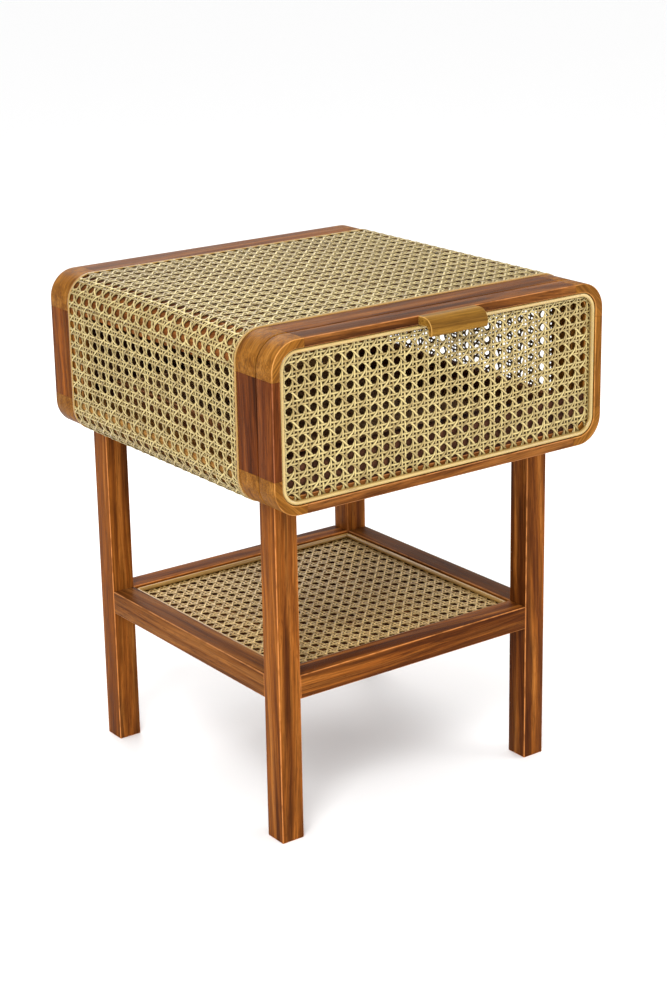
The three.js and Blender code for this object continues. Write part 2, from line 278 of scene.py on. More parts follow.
def build_grain():
    """Wood grain as masks. Long streaks are noise stretched along the board, bands of heartwood
    are slower noise, and fibres and pores are very fine noise, all moved by one slow warp."""
    group, given, result = new_group(
        "Wood grain", [("Place", "NodeSocketVector", None)], ["Tone", "Band", "Fibre", "Pores"])
    place = given.outputs["Place"]
    slow = add_node(group, "ShaderNodeTexNoise", {
        "Vector": stretch(group, place, (2.4, 9, 9)), "Scale": 1.0, "Detail": 2.0})
    swing = stretch(group, slow.outputs["Color"], (0.0, 0.022, 0.022))
    moved = add_node(group, "ShaderNodeVectorMath", {0: place, 1: swing}, operation="ADD").outputs[0]
    streaks = noise(group, stretch(group, moved, (2.2, 115, 115)), 6.0, 0.62, 0.25)
    group.links.new(streaks, result.inputs["Tone"])
    bands = noise(group, stretch(group, moved, (1.1, 30, 30)), 4.0, 0.55, 0.4)
    group.links.new(between(group, bands, 0.53, 0.61), result.inputs["Band"])
    fibres = noise(group, stretch(group, moved, (16, 620, 620)), 3.0, 0.6)
    group.links.new(fibres, result.inputs["Fibre"])
    pores = noise(group, stretch(group, moved, (70, 1500, 1500)), 1.0)
    group.links.new(between(group, pores, 0.62, 0.72), result.inputs["Pores"])
    return group


def build_edge_highlight():
    """A painted highlight along eased edges: the edge's own mask, broken up by noise."""
    inputs = [("Edge", "NodeSocketFloat", 0.0), ("Place", "NodeSocketVector", None)]
    group, given, result = new_group("Painted edge highlight", inputs, ["Wear"])
    patches = noise(group, stretch(group, given.outputs["Place"], (60, 60, 60)), 3.0)
    kept = between(group, patches, 0.3, 0.58, 0.35, 1.0)
    group.links.new(maths(group, "MULTIPLY", given.outputs["Edge"], kept), result.inputs["Wear"])
    return group


GRAIN = build_grain()
EDGE_HIGHLIGHT = build_edge_highlight()


def wood(name, dark, middle, light, heart, band_share=0.75, roughness=(0.34, 0.52), turned=None):
    """Oiled hardwood. Without turned, a piece's own grain attribute places the pattern. With it,
    the piece's coordinates do, turned so that the grain runs along the piece."""
    material = bpy.data.materials.new(name)
    material.use_nodes = True
    tree = material.node_tree
    shader = tree.nodes["Principled BSDF"]
    grain = add_node(tree, "ShaderNodeGroup", node_tree=GRAIN)
    edge_highlight = add_node(tree, "ShaderNodeGroup", node_tree=EDGE_HIGHLIGHT)
    if turned is None:
        place = add_node(tree, "ShaderNodeAttribute", attribute_name="grain").outputs["Vector"]
        edge = add_node(tree, "ShaderNodeAttribute", attribute_name="edge").outputs["Fac"]
        tree.links.new(edge, edge_highlight.inputs["Edge"])
    else:
        own = add_node(tree, "ShaderNodeTexCoord").outputs["Object"]
        place = add_node(tree, "ShaderNodeMapping", {"Vector": own, "Rotation": turned}).outputs[0]
    tree.links.new(place, grain.inputs["Place"])
    tree.links.new(place, edge_highlight.inputs["Place"])
    colour = ramp(tree, grain.outputs["Tone"], [(0.36, dark), (0.5, middle), (0.66, light)])
    share = maths(tree, "MULTIPLY", grain.outputs["Band"], band_share)
    colour = blended(tree, share, colour, heart)
    fibre = between(tree, grain.outputs["Fibre"], 0.32, 0.66, 0.66, 1.18)
    colour = blended(tree, 1.0, colour, add_node(
        tree, "ShaderNodeCombineColor", {0: fibre, 1: fibre, 2: fibre}).outputs[0], "MULTIPLY")
    colour = blended(tree, maths(tree, "MULTIPLY", grain.outputs["Pores"], 0.6), colour, heart)
    # Painted highlight: eased edges are lightened towards a bright copy of the light streak colour.
    highlight_colour = tuple(min(1.0, 1.9 * c + 0.03) for c in light)
    colour = blended(tree, maths(tree, "MULTIPLY", edge_highlight.outputs["Wear"], 0.85), colour, highlight_colour)
    tree.links.new(colour, shader.inputs["Base Color"])
    rough = between(tree, grain.outputs["Fibre"], 0.3, 0.7, *roughness)
    tree.links.new(rough, shader.inputs["Roughness"])
    shader.inputs["Specular IOR Level"].default_value = 0.03
    height = maths(tree, "SUBTRACT", grain.outputs["Fibre"], grain.outputs["Pores"])
    bump = add_node(tree, "ShaderNodeBump", {"Height": height, "Strength": 0.22, "Distance": 0.0006})
    tree.links.new(bump.outputs[0], shader.inputs["Normal"])
    return material


def build_reed():
    """A cane strand's skin as masks, from its strand attribute: distance along it, place across
    it from -1 to 1, and a number of its own. Fine stripes run along it."""
    group, given, result = new_group(
        "Cane skin", [("Strand", "NodeSocketVector", None)], ["Tone", "Stripes", "Side", "Marks"])
    parts = add_node(group, "ShaderNodeSeparateXYZ", {0: given.outputs["Strand"]})
    along, across, own = parts.outputs
    combine = lambda x, y, z: add_node(
        group, "ShaderNodeCombineXYZ", {"X": x, "Y": y, "Z": z}).outputs[0]
    shifted = maths(group, "MULTIPLY", own, 71.0)
    slow = noise(group, combine(maths(group, "MULTIPLY", along, 14.0), shifted, 0.0), 2.0)
    own_share = maths(group, "MULTIPLY", own, 0.62)
    tone = maths(group, "ADD", own_share, maths(group, "MULTIPLY", slow, 0.5))
    group.links.new(tone, result.inputs["Tone"])
    wide = maths(group, "MULTIPLY", across, 4.0)
    lines = combine(maths(group, "MULTIPLY", along, 30.0), wide, shifted)
    group.links.new(noise(group, lines, 3.0, 0.6), result.inputs["Stripes"])
    # Painted shade: this mask grows towards the strand's edges.
    side = maths(group, "POWER", maths(group, "ABSOLUTE", across), 2.0)
    group.links.new(side, result.inputs["Side"])
    spots = combine(maths(group, "MULTIPLY", along, 90.0), across, shifted)
    group.links.new(between(group, noise(group, spots, 2.0), 0.66, 0.76), result.inputs["Marks"])
    return group


REED = build_reed()


def cane(name, dark, light, side, mark, roughness=0.4, edge_shade_share=0.75, coat=0.12):
    """Split cane: glossy straw skin with painted shade towards each strand's edges, and a few brown
    marks.
    """
    material = bpy.data.materials.new(name)
    material.use_nodes = True
    tree = material.node_tree
    shader = tree.nodes["Principled BSDF"]
    strand = add_node(tree, "ShaderNodeAttribute", attribute_name="strand").outputs["Vector"]
    skin = add_node(tree, "ShaderNodeGroup", node_tree=REED)
    tree.links.new(strand, skin.inputs["Strand"])
    colour = ramp(tree, skin.outputs["Tone"], [(0.15, dark), (0.85, light)])
    stripe = between(tree, skin.outputs["Stripes"], 0.3, 0.7, 0.8, 1.1)
    colour = blended(tree, 1.0, colour, add_node(
        tree, "ShaderNodeCombineColor", {0: stripe, 1: stripe, 2: stripe}).outputs[0], "MULTIPLY")
    # Painted shade: the edges of each strand blend towards the side colour.
    colour = blended(tree, maths(tree, "MULTIPLY", skin.outputs["Side"], edge_shade_share), colour, side)
    colour = blended(tree, maths(tree, "MULTIPLY", skin.outputs["Marks"], 0.6), colour, mark)
    tree.links.new(colour, shader.inputs["Base Color"])
    rough = between(tree, skin.outputs["Stripes"], 0.3, 0.7, roughness - 0.06, roughness + 0.12)
    tree.links.new(rough, shader.inputs["Roughness"])
    shader.inputs["Coat Weight"].default_value = coat
    shader.inputs["Coat Roughness"].default_value = 0.25
    bump = add_node(tree, "ShaderNodeBump", {
        "Height": skin.outputs["Stripes"], "Strength": 0.3, "Distance": 0.0003})
    tree.links.new(bump.outputs[0], shader.inputs["Normal"])
    return material


HEART = srgb(62, 27, 8)
ALONG_Y = (0.0, 0.0, math.pi / 2)
teak = wood("Teak", srgb(92, 47, 16), srgb(130, 72, 23), srgb(160, 98, 40), HEART)
orange_teak = wood("Orange teak", srgb(108, 54, 16), srgb(144, 80, 23), srgb(168, 104, 42), HEART,
                   band_share=0.65)
honey = wood("Honey teak", srgb(108, 64, 21), srgb(132, 83, 27), srgb(153, 102, 42),
             srgb(84, 46, 15), band_share=0.5)
pull_teak = wood("Pull teak", srgb(112, 76, 26), srgb(136, 97, 36), srgb(158, 118, 54),
                 srgb(84, 52, 18), band_share=0.4)
dark_teak = wood("Dark teak", srgb(68, 31, 10), srgb(92, 44, 15), srgb(116, 62, 25),
                 srgb(42, 18, 7), band_share=0.65)
red_teak = wood("Red teak", srgb(84, 45, 16), srgb(114, 66, 26), srgb(141, 89, 41),
                srgb(52, 25, 9), band_share=0.6)
reach_teak = wood("Tongue teak", srgb(96, 56, 20), srgb(130, 82, 32), srgb(152, 104, 48), HEART)
inner_teak = wood("Teak out of sight", srgb(70, 38, 20), srgb(98, 56, 30), srgb(124, 76, 42),
                  srgb(54, 28, 14), turned=ALONG_Y)
upper_rail = wood("Upper rail teak", srgb(92, 50, 20), srgb(122, 72, 33), srgb(146, 94, 48),
                  srgb(72, 38, 16), turned=ALONG_Y)
lower_rail = wood("Lower rail teak", srgb(112, 72, 32), srgb(144, 100, 48), srgb(168, 124, 64),
                  srgb(92, 56, 26), turned=ALONG_Y)
board = wood("Stained board", srgb(74, 45, 28), srgb(100, 63, 40), srgb(122, 80, 52),
             srgb(58, 34, 20), roughness=(0.55, 0.7), turned=ALONG_Y)
# The shelf's backing board, stained dark: partly its own stain, partly painted shade seen through the
# cane's holes.
shelf_board = wood("Shelf panel", srgb(52, 29, 14), srgb(80, 48, 24), srgb(112, 72, 38),
                   srgb(40, 20, 9), roughness=(0.55, 0.7), turned=ALONG_Y)
box_wood = wood("Drawer box wood", srgb(92, 54, 29), srgb(122, 77, 43), srgb(146, 98, 58),
                srgb(72, 40, 21), roughness=(0.5, 0.65))
# Drawer back and bottom are made pale as painted light, lifting the dim inside of the case.
pale_wood = wood("Drawer back wood", srgb(132, 90, 54), srgb(160, 116, 74), srgb(180, 138, 92),
                 srgb(112, 72, 42), roughness=(0.5, 0.65))
floor_board = wood("Drawer bottom", srgb(148, 108, 70), srgb(174, 134, 92), srgb(192, 156, 112),
                   srgb(126, 86, 54), roughness=(0.5, 0.65), turned=ALONG_Y)
# The drawer box front is stained dark as painted shade behind the drawer's cane.
front_board = wood("Drawer front board", srgb(48, 28, 18), srgb(68, 42, 28), srgb(88, 56, 38),
                   srgb(38, 22, 13), roughness=(0.55, 0.7), turned=ALONG_Y)
# Each cane's third colour is the painted shade at its strands' edges.
straw = cane("Straw cane", srgb(150, 124, 66), srgb(214, 192, 126), srgb(88, 72, 32),
             srgb(98, 66, 32))
shelf_straw = cane("Shelf cane", srgb(178, 140, 78), srgb(236, 202, 132), srgb(104, 76, 34),
                   srgb(104, 70, 34))
bead_reed = cane("Bead reed", srgb(178, 146, 78), srgb(214, 188, 118), srgb(122, 88, 38),
                 srgb(124, 82, 40), roughness=0.26, edge_shade_share=0.65, coat=0.6)
trim_reed = cane("Trim reed", srgb(168, 126, 54), srgb(194, 156, 80), srgb(124, 86, 36),
                 srgb(96, 62, 28), roughness=0.34, edge_shade_share=0.5, coat=0.3)


# ---------------------------------------------------------------- wooden pieces

def beam(node, axis, body, material, slot, radius=0.0012):
    """A straight bar filling a CAD node's box: an eased rectangle carried along its length,
    and drawn in at both ends."""
    low, high = (np.array(corner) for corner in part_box(node))
    a, b = [k for k in range(3) if k != axis]
    size = high - low
    s, draw = ends_eased(size[axis], radius, np.linspace(radius * 1.2, size[axis] - radius * 1.2, 6))
    corners = [(0, 0), (size[a], 0), (size[a], size[b]), (0, size[b])]
    sections = [eased(corners, radius, d) for d in draw]
    points = np.zeros((len(s), len(sections[0][0]), 3))
    points[..., a] = np.stack([section[0][:, 0] for section in sections]) + low[a]
    points[..., b] = np.stack([section[0][:, 1] for section in sections]) + low[b]
    points[..., axis] = low[axis] + s[:, None]
    # The edge mask places the painted edge highlight, along the long edges and round both ends.
    end_edge = np.sin(np.pi * draw / radius)[:, None]
    edge = np.maximum(np.stack([section[1] for section in sections]), end_edge)
    flat = points.reshape(-1, 3)
    along = np.eye(3)[axis]
    return add_piece(node + "_wood", flat, grid_faces(*points.shape[:2]), body, material, slot,
                     [node], grain=grain_of(flat, along), edge=edge.reshape(-1))


def ring_piece(node, start, end, rebate, body, material, slot):
    """A length of ring: its cross-section, inset by front to back, carried along the outline.
    Its edges carry a painted highlight, kept faint beside the drawer's seam."""
    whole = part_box(node.split("_ring")[0] + "_ring_top")
    front, back = whole[0].y, whole[1].y
    if node.startswith("drawer"):
        back -= EASE
    elif node.startswith("front"):
        front += EASE
    radius, tight, beside_seam = 0.0011, 0.0004, 0.0015
    if rebate == "front":
        shape = [(0, front), (FACE, front), (FACE, front + REBATE), (THICK, front + REBATE),
                 (THICK, back), (0, back)]
    elif rebate == "back":
        shape = [(0, front), (THICK, front), (THICK, back - REBATE), (FACE, back - REBATE),
                 (FACE, back), (0, back)]
    else:
        shape = [(0, front), (THICK, front), (THICK, back), (0, back)]
    length = end - start
    s, draw = ends_eased(length, tight, np.linspace(tight * 1.5, length - tight * 1.5, 18))
    sections = [eased(shape, radius, d) for d in draw]
    section = np.stack([part[0] for part in sections])
    x, z = outline_at((start + s)[:, None], section[..., 0])
    points = np.stack([x, section[..., 1], z], -1)
    flat = points.reshape(-1, 3)
    ends = points[[0, -1]].mean(1)
    along = ends[1] - ends[0]
    edge = np.stack([part[1] for part in sections]).reshape(-1)
    seam = back if node.startswith("drawer") else front
    # The painted edge highlight is cut to a tenth beside the seam.
    edge = np.where(np.abs(flat[:, 1] - seam) < beside_seam, 0.1 * edge, edge)
    return add_piece(node + "_wood", flat, grid_faces(*points.shape[:2]), body, material, slot,
                     [node], grain=grain_of(flat, along, 4.0), edge=edge)


def make_ring(prefix, rebate, body, straight):
    """Four curved and four straight pieces of a ring, in order round the outline."""
    over = SPAN - RADIUS
    corners = [("top_right", 2), ("top_left", 4), ("bottom_left", 6)]
    joints = {name: (ROUND[k] - over, ROUND[k + 1] + over) for name, k in corners}
    joints["bottom_right"] = (ROUND[0] - over, ROUND[1] + over)
    for name, (start, end) in joints.items():
        ring_piece(f"{prefix}_corner_{name}", start, end, rebate, body, honey, "teak_light")
    once_round = ROUND[8] - ROUND[0]
    runs = {"right": (joints["bottom_right"][1], joints["top_right"][0]),
            "top": (joints["top_right"][1], joints["top_left"][0]),
            "left": (joints["top_left"][1], joints["bottom_left"][0]),
            "bottom": (joints["bottom_left"][1] - once_round, joints["bottom_right"][0])}
    for name, (start, end) in runs.items():
        material, slot = straight[name]
        if name == "bottom":
            start, end = start + once_round, end + once_round
        ring_piece(f"{prefix}_{name}", start, end, rebate, body, material, slot)


def make_tongue(side):
    """The part of a back upright that reaches forward behind the wrap, as deep as its CAD box
    goes in front of the ring, and as far in from the outline as the corner rails."""
    low, high = (np.array(corner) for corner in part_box(f"back_ring_{side}"))
    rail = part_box(f"corner_rail_top_{side}")
    sign = 1 if side == "right" else -1
    outer, inner = max(abs(rail[0].x), abs(rail[1].x)), HALF - THICK
    low[0], high[0] = sorted((sign * inner, sign * outer))
    high[1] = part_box("back_ring_top")[0].y
    corners = [(low[0], low[1]), (high[0], low[1]), (high[0], high[1]), (low[0], high[1])]
    section, edge = eased(corners, 0.001)
    level = np.linspace(low[2], high[2], 8)
    points = np.stack(np.broadcast_arrays(section[None, :, 0], section[None, :, 1], level[:, None]), -1)
    flat = points.reshape(-1, 3)
    add_piece(f"back_ring_{side}_tongue_wood", flat, grid_faces(*points.shape[:2]), "table",
              reach_teak, "teak_dark", [f"back_ring_{side}"],
              grain=grain_of(flat, (0, 0, 1)), edge=np.tile(edge, len(level)))


def make_pull():
    """The pull: its bent profile carried across, drawn in at both ends along the average of
    each point's two edge normals."""
    low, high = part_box("drawer_pull")
    thick, lip, bend, inner = 0.0095, 0.006, 0.013, 0.004
    arc = lambda cy, cz, r, a, b: np.stack([
        cy + r * np.cos(np.radians(np.linspace(a, b, 13))),
        cz + r * np.sin(np.radians(np.linspace(a, b, 13)))], 1)
    front, top, bottom, back = low.y, high.z, low.z, high.y
    profile = np.concatenate([
        [(back, top)], arc(front + bend, top - bend, bend, 90, 180),
        arc(front + lip / 2, bottom + lip / 2, lip / 2, 180, 360),
        arc(front + lip + inner, top - thick - inner, inner, 180, 90), [(back, top - thick)]])
    radius = 0.001
    s, draw = ends_eased(high.x - low.x, radius, np.linspace(0.002, high.x - low.x - 0.002, 6))
    after = np.roll(profile, -1, 0) - profile
    after /= np.linalg.norm(after, axis=1, keepdims=True)
    normal = np.stack([-after[:, 1], after[:, 0]], 1)
    both = normal + np.roll(normal, 1, 0)
    both /= np.maximum(1 + (normal * np.roll(normal, 1, 0)).sum(1, keepdims=True), 0.4)
    section = profile[None] + draw[:, None, None] * both[None]
    section[..., 0] = np.minimum(section[..., 0], back)
    x = np.broadcast_to(low.x + s[:, None, None], (*section.shape[:2], 1))
    points = np.concatenate([x, section], -1)
    flat = points.reshape(-1, 3)
    edge = np.repeat(np.sin(np.pi * np.clip(draw / radius, 0, 1)), len(profile))
    return add_piece("pull_wood", flat, grid_faces(*points.shape[:2]), "drawer", pull_teak,
                     "teak_light", ["drawer_pull"], grain=grain_of(flat, (1, 0, 0)), edge=edge)


# ---------------------------------------------------------------- cane

def straight_lines(low, high, odd):
    """Where the pairs run between low and high, and each strand's place in its pair. Distances
    here and in the next three functions are in hole spacings."""
    first, last = math.ceil(low - 0.5) - 1, math.floor(high - 0.5) + 1
    middles = np.arange(first, last + 1) + 0.5
    lines = [(m + side * PAIR, side) for m in middles for side in (-1, 1)]
    return [(at, side * odd) for at, side in lines if low < at < high]


def pair_wave(t, side):
    """Height of a straight strand: over one of a crossing pair, under the other, level half way
    to the next pair. Straight-line steps between those heights, softened by the sampling."""
    return side * RISE * np.interp(np.mod(t, 1.0), [0, 0.353, 0.5, 0.647, 1], [0, 1, 0, -1, 0])


def diagonal_wave(t, side):
    """Height of a diagonal: over one set of pairs and under the other, with flattened tops."""
    return side * DIAGONAL_RISE * np.sin(math.pi / 2 * np.cos(2 * math.pi * t))


def strand_tube(start, direction, low, high, wave, side, pitch, width):
    """One strand in the sheet's own plane: its flat section carried along a straight line at
    the wave's height. Gives grid points u, v, w and the strand attribute."""
    steps = 1 / 6
    grid = np.arange(math.ceil(low / steps), math.floor(high / steps) + 1) * steps
    grid = grid[(grid > low + steps * 0.2) & (grid < high - steps * 0.2)]
    t = np.concatenate([[low], grid, [high]])
    shape = np.array([(-1, 0), (-0.62, 0.72), (0, 1), (0.62, 0.72), (1, 0), (0, -0.8)])
    run = np.asarray(direction) * pitch
    length = t * np.linalg.norm(run) + random.uniform(0, 9)
    across = np.array([-run[1], run[0]]) / np.linalg.norm(run)
    offset = shape[None, :, 0] * width / 2 * (1 + 0.06 * np.sin(length * 190))[:, None]
    uv = np.asarray(start) * pitch + t[:, None, None] * run + offset[..., None] * across
    w = wave(t, side)[:, None] + shape[None, :, 1] * STRAND_THICK / 2
    own = random.uniform(0, 1)
    strand = np.stack(np.broadcast_arrays(length[:, None], shape[None, :, 0], own), -1)
    return np.concatenate([uv, w[..., None]], -1), strand


def inside_span(inside, start, direction, low, high):
    """The stretch of a line that lies inside a rounded region, found on a fine scale."""
    t = np.linspace(low, high, 1500)
    hit = inside(start[0] + t * direction[0], start[1] + t * direction[1])
    return (t[hit][0], t[hit][-1]) if hit.sum() > 3 else None


def weave(u_range, v_range, inside, kinds, pitch):
    """All strands over a region of the sheet. Pairs run both ways half way between the holes,
    and single diagonals pass half way between neighbouring holes. Pitch is the hole spacing
    each way, and the region is given in metres."""
    tubes = []
    pitch = np.asarray(pitch)
    (u0, u1), (v0, v1) = np.asarray(u_range) / pitch[0], np.asarray(v_range) / pitch[1]
    within = lambda u, v: inside(u * pitch[0], v * pitch[1])

    def lay(start, direction, low, high, wave, side, width):
        span = inside_span(within, start, direction, low, high)
        if span and span[1] - span[0] > 0.15:
            tubes.append(strand_tube(start, direction, *span, wave, side, pitch, width))

    if "straight" in kinds:
        for at, side in straight_lines(u0, u1, 1):
            lay((at + random.normal(0, 0.01), 0), (0, 1), v0, v1, pair_wave, side, STRAND_WIDTH)
        for at, side in straight_lines(v0, v1, -1):
            lay((0, at + random.normal(0, 0.01)), (1, 0), u0, u1, pair_wave, side, STRAND_WIDTH)
    if "diagonal" in kinds:
        for slope in (1, -1):
            ends = sorted(v - slope * u for u in (u0, u1) for v in (v0, v1))
            for k in range(math.ceil(ends[0] - 0.5), math.floor(ends[-1] - 0.5) + 1):
                lay((0, k + 0.5), (1, slope), u0, u1, diagonal_wave, slope, DIAGONAL_WIDTH)
    return tubes


def add_cane(name, tubes, to_space, shift, body, nodes, material=None, slot="cane"):
    """Strands joined into one piece. to_space takes the sheet's u, v and height to x, y, z."""
    points, strand, faces, count = [], [], {}, 0
    for place, skin in tubes:
        rows, columns = place.shape[:2]
        for group in grid_faces(rows, columns):
            faces.setdefault(group.shape[1] if len(group) > 1 else -columns, []).append(group + count)
        points.append(place.reshape(-1, 3))
        strand.append(skin.reshape(-1, 3))
        count += rows * columns
    points = np.concatenate(points)
    wander = 0.00035 * np.sin(points[:, 0] * 61 + points[:, 1] * 23 + 1.3)
    sway = 0.00035 * np.sin(points[:, 1] * 53 - points[:, 0] * 31 + 0.4)
    u, v, w = points[:, 0] + wander + shift[0], points[:, 1] + sway + shift[1], points[:, 2]
    space = to_space(u, v, w)
    return add_piece(name, space, [np.concatenate(f) for f in faces.values()], body,
                     material or straw, slot, nodes, strand=np.concatenate(strand))


def loop_tube(name, path, normal, out, half_wide, half_high, body, node, material, closed=True):
    """A round reed carried round a path: an ellipse across the path's normal and out."""
    turn = np.linspace(0, 2 * math.pi, 12, endpoint=False)
    step = np.linalg.norm(np.diff(path, axis=0), axis=1)
    along = np.concatenate([[0], np.cumsum(step)])
    swell = 1 - 0.025 * (1 + np.sin(along * 70)) * (1 + np.sin(along * 23)) / 4
    points = (path[:, None]
              + normal[:, None] * (np.cos(turn) * half_wide)[None, :, None] * swell[:, None, None]
              + out[:, None] * (np.sin(turn) * half_high)[None, :, None] * swell[:, None, None])
    own = random.uniform(0, 1)
    # cos(turn) across the reed puts the painted shade on its two sides.
    strand = np.stack(np.broadcast_arrays(along[:, None], np.cos(turn)[None], own), -1)
    return add_piece(name, points.reshape(-1, 3), grid_faces(len(path), 12, closed), body, material,
                     "rattan", [node], strand=strand.reshape(-1, 3))


def rounded_region(half_u, half_v, radius):
    """True inside a rectangle with rounded corners: the distance beyond the corner circles'
    middles is less than the radius."""
    def inside(u, v):
        beyond_u = np.maximum(np.abs(u) - (half_u - radius), 0)
        beyond_v = np.maximum(np.abs(v) - (half_v - radius), 0)
        return np.hypot(beyond_u, beyond_v) <= radius
    return inside


def flat_cane(node, name, pitch, shift, body, facing, lift=0.0):
    """A woven panel in a ring's rebate, seen from the front or the back. The weave sits askew:
    its rows climb by lift towards the right hand end, along a smooth step."""
    low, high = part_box(node)
    half_u, half_v = (high.x - low.x) / 2, (high.z - low.z) / 2
    middle_y, middle_z = (low.y + high.y) / 2, (low.z + high.z) / 2
    region = rounded_region(half_u - 0.0008, half_v - 0.0008, RADIUS - FACE - 0.0008)
    inside = lambda u, v: region(u + shift[0], v + shift[1])
    spans = [(-half_u - shift[0], half_u - shift[0]), (-half_v - shift[1], half_v - shift[1])]
    climb_from, climb_over, fade_over = 0.03, 0.16, 0.02

    def to_space(u, v, w):
        t = np.clip((u - climb_from) / climb_over, 0, 1)
        climb = lift * t * t * (3 - 2 * t) * np.clip((half_v - np.abs(v)) / fade_over, 0, 1)
        return np.stack([u, middle_y + facing * w, middle_z + v + climb], 1)

    tubes = weave(*spans, inside, ("straight", "diagonal"), pitch)
    return add_cane(name, tubes, to_space, shift, body, [node])


def bead(node, name, body):
    """The round bead that holds a panel in its rebate."""
    low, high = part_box(node)
    half = (high.y - low.y) / 2
    inset = HALF - high.x + half
    stops = np.concatenate([np.linspace(a, b, n, endpoint=False) for a, b, n in zip(
        ROUND[:-1], ROUND[1:], [12, 10, 12, 40] * 2)])
    path, normal = outline_path(stops, inset, (low.y + high.y) / 2)
    out = np.broadcast_to([0.0, 1.0, 0.0], path.shape)
    return loop_tube(name, path, normal, out, half * 0.98, half * 0.98, body, node, bead_reed)


def wrap_cane():
    """The sheet round the case. Distance round the outline is u, and v runs front to back. The
    rows of the left side droop towards the front, by a power of the distance from the middle."""
    low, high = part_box("cane_over_top")
    middle = (low.y + high.y) / 2
    half_v = (high.y - low.y) / 2
    proud = high.z - TOP
    lower_end = TOP_MIDDLE - ROUND[7]
    most_droop, droop_over, fade_top, fade_low = 0.0056, 0.152, 0.24, 0.05

    def to_space(u, v, w):
        fade = np.clip(-u / fade_top, 0, 1) * np.clip((u - lower_end) / fade_low, 0, 1)
        droop = -most_droop * (np.maximum(-v, 0) / droop_over) ** 1.3 * fade
        x, z = outline_at(TOP_MIDDLE - u - droop, -(proud - 0.0009) - w)
        return np.stack([x, middle + v, z], 1)

    cuts = [(ROUND[0], ROUND[2]), (ROUND[2], ROUND[5]), (ROUND[5], ROUND[7])]
    names = ["side_right", "over_top", "side_left"]
    for (start, end), part in zip(cuts, names):
        span_u = (TOP_MIDDLE - end - WRAP_SHIFT[0], TOP_MIDDLE - start - WRAP_SHIFT[0])
        span_v = (-half_v - WRAP_SHIFT[1], half_v - WRAP_SHIFT[1])
        inside = lambda u, v: (u > span_u[0]) & (u < span_u[1]) & (v > span_v[0]) & (v < span_v[1])
        sets = [("straight",), ("diagonal",)] if part == "over_top" else [("straight", "diagonal")]
        for kinds in sets:
            label = f"cane_{part}_{kinds[0] if len(sets) > 1 else 'woven'}"
            tubes = weave(span_u, span_v, inside, kinds, WRAP_PITCH)
            add_cane(label, tubes, to_space, WRAP_SHIFT, "table", [f"cane_{part}"])


def wrap_trim(node):
    """The flat reed along one edge of the wrap, from under one side round to the other."""
    low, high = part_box(node)
    stops = np.concatenate([np.linspace(a, b, n, endpoint=False) for a, b, n in zip(
        ROUND[:7], ROUND[1:8], [10, 12, 10, 40, 10, 12, 10])] + [[ROUND[7]]])
    depth = (high.y - low.y) / 2
    inset = -0.0001
    path, normal = outline_path(stops, inset, (low.y + high.y) / 2)
    out = np.broadcast_to([0.0, 1.0, 0.0], path.shape)
    loop_tube(node + "_reed", path, normal, out, 0.0011, depth, "table", node, trim_reed, False)


def shelf_cane():
    """The shelf's woven panel."""
    low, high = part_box("shelf_cane")
    half_u, half_v = (high.x - low.x) / 2, (high.y - low.y) / 2
    middle_y, level = (low.y + high.y) / 2, high.z - 0.0012
    region = rounded_region(half_u - 0.001, half_v - 0.001, 0.002)
    inside = lambda u, v: region(u + SHELF_SHIFT[0], v + SHELF_SHIFT[1])
    spans = [(-half_u - SHELF_SHIFT[0], half_u - SHELF_SHIFT[0]),
             (-half_v - SHELF_SHIFT[1], half_v - SHELF_SHIFT[1])]
    to_space = lambda u, v, w: np.stack([u, middle_y + v, level + w], 1)
    tubes = weave(*spans, inside, ("straight", "diagonal"), SHELF_PITCH)
    add_cane("shelf_cane_woven", tubes, to_space, SHELF_SHIFT, "table", ["shelf_cane"], shelf_straw)


def shelf_bead():
    """The half-round reed round the shelf's cane, with tight corners."""
    low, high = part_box("shelf_bead")
    half_x, half_y = (high.x - low.x) / 2, (high.y - low.y) / 2
    middle_y = (low.y + high.y) / 2
    half, radius, gap = 0.0029, 0.0032, 0.0001
    reach = half + radius + gap
    stops = []
    for k, (cx, cy) in enumerate([(1, 1), (-1, 1), (-1, -1), (1, -1)]):
        turn = np.radians(np.linspace(0, 90, 7) + 90 * k)
        centre = np.array([cx * (half_x - reach), cy * (half_y - reach)])
        stops.append(centre + radius * np.stack([np.cos(turn), np.sin(turn)], 1))
        straight = np.linspace(0.02, 0.98, 40)[:, None]
        following = [(-1, 1), (-1, -1), (1, -1), (1, 1)][k]
        next_centre = np.array([following[0] * (half_x - reach), following[1] * (half_y - reach)])
        end_turn = turn[-1]
        edge = radius * np.array([math.cos(end_turn), math.sin(end_turn)])
        stops.append((centre + edge) * (1 - straight) + (next_centre + edge) * straight)
    flat = np.concatenate(stops)
    ahead = np.roll(flat, -1, 0) - np.roll(flat, 1, 0)
    ahead /= np.linalg.norm(ahead, axis=1, keepdims=True)
    path = np.stack([flat[:, 0], flat[:, 1] + middle_y, np.full(len(flat), low.z + 0.0027)], 1)
    normal = np.stack([ahead[:, 1], -ahead[:, 0], np.zeros(len(flat))], 1)
    out = np.broadcast_to([0.0, 0.0, 1.0], path.shape)
    loop_tube("shelf_bead_reed", path, normal, out, half, 0.0027, "table", "shelf_bead", trim_reed)


# Each sheet's hole spacing both ways, and how far its middle hole lies off the sheet's middle
DRAWER_PITCH, DRAWER_SHIFT = (0.01512, 0.0150), (0.0007, 0.00175)
BACK_PITCH, BACK_SHIFT = (0.0151, 0.0151), (0.0, 0.0)
WRAP_PITCH, WRAP_SHIFT = (0.0154, 0.01648), (0.0012, -0.0037)
SHELF_PITCH, SHELF_SHIFT = (0.0142, 0.0155), (0.0, 0.0)

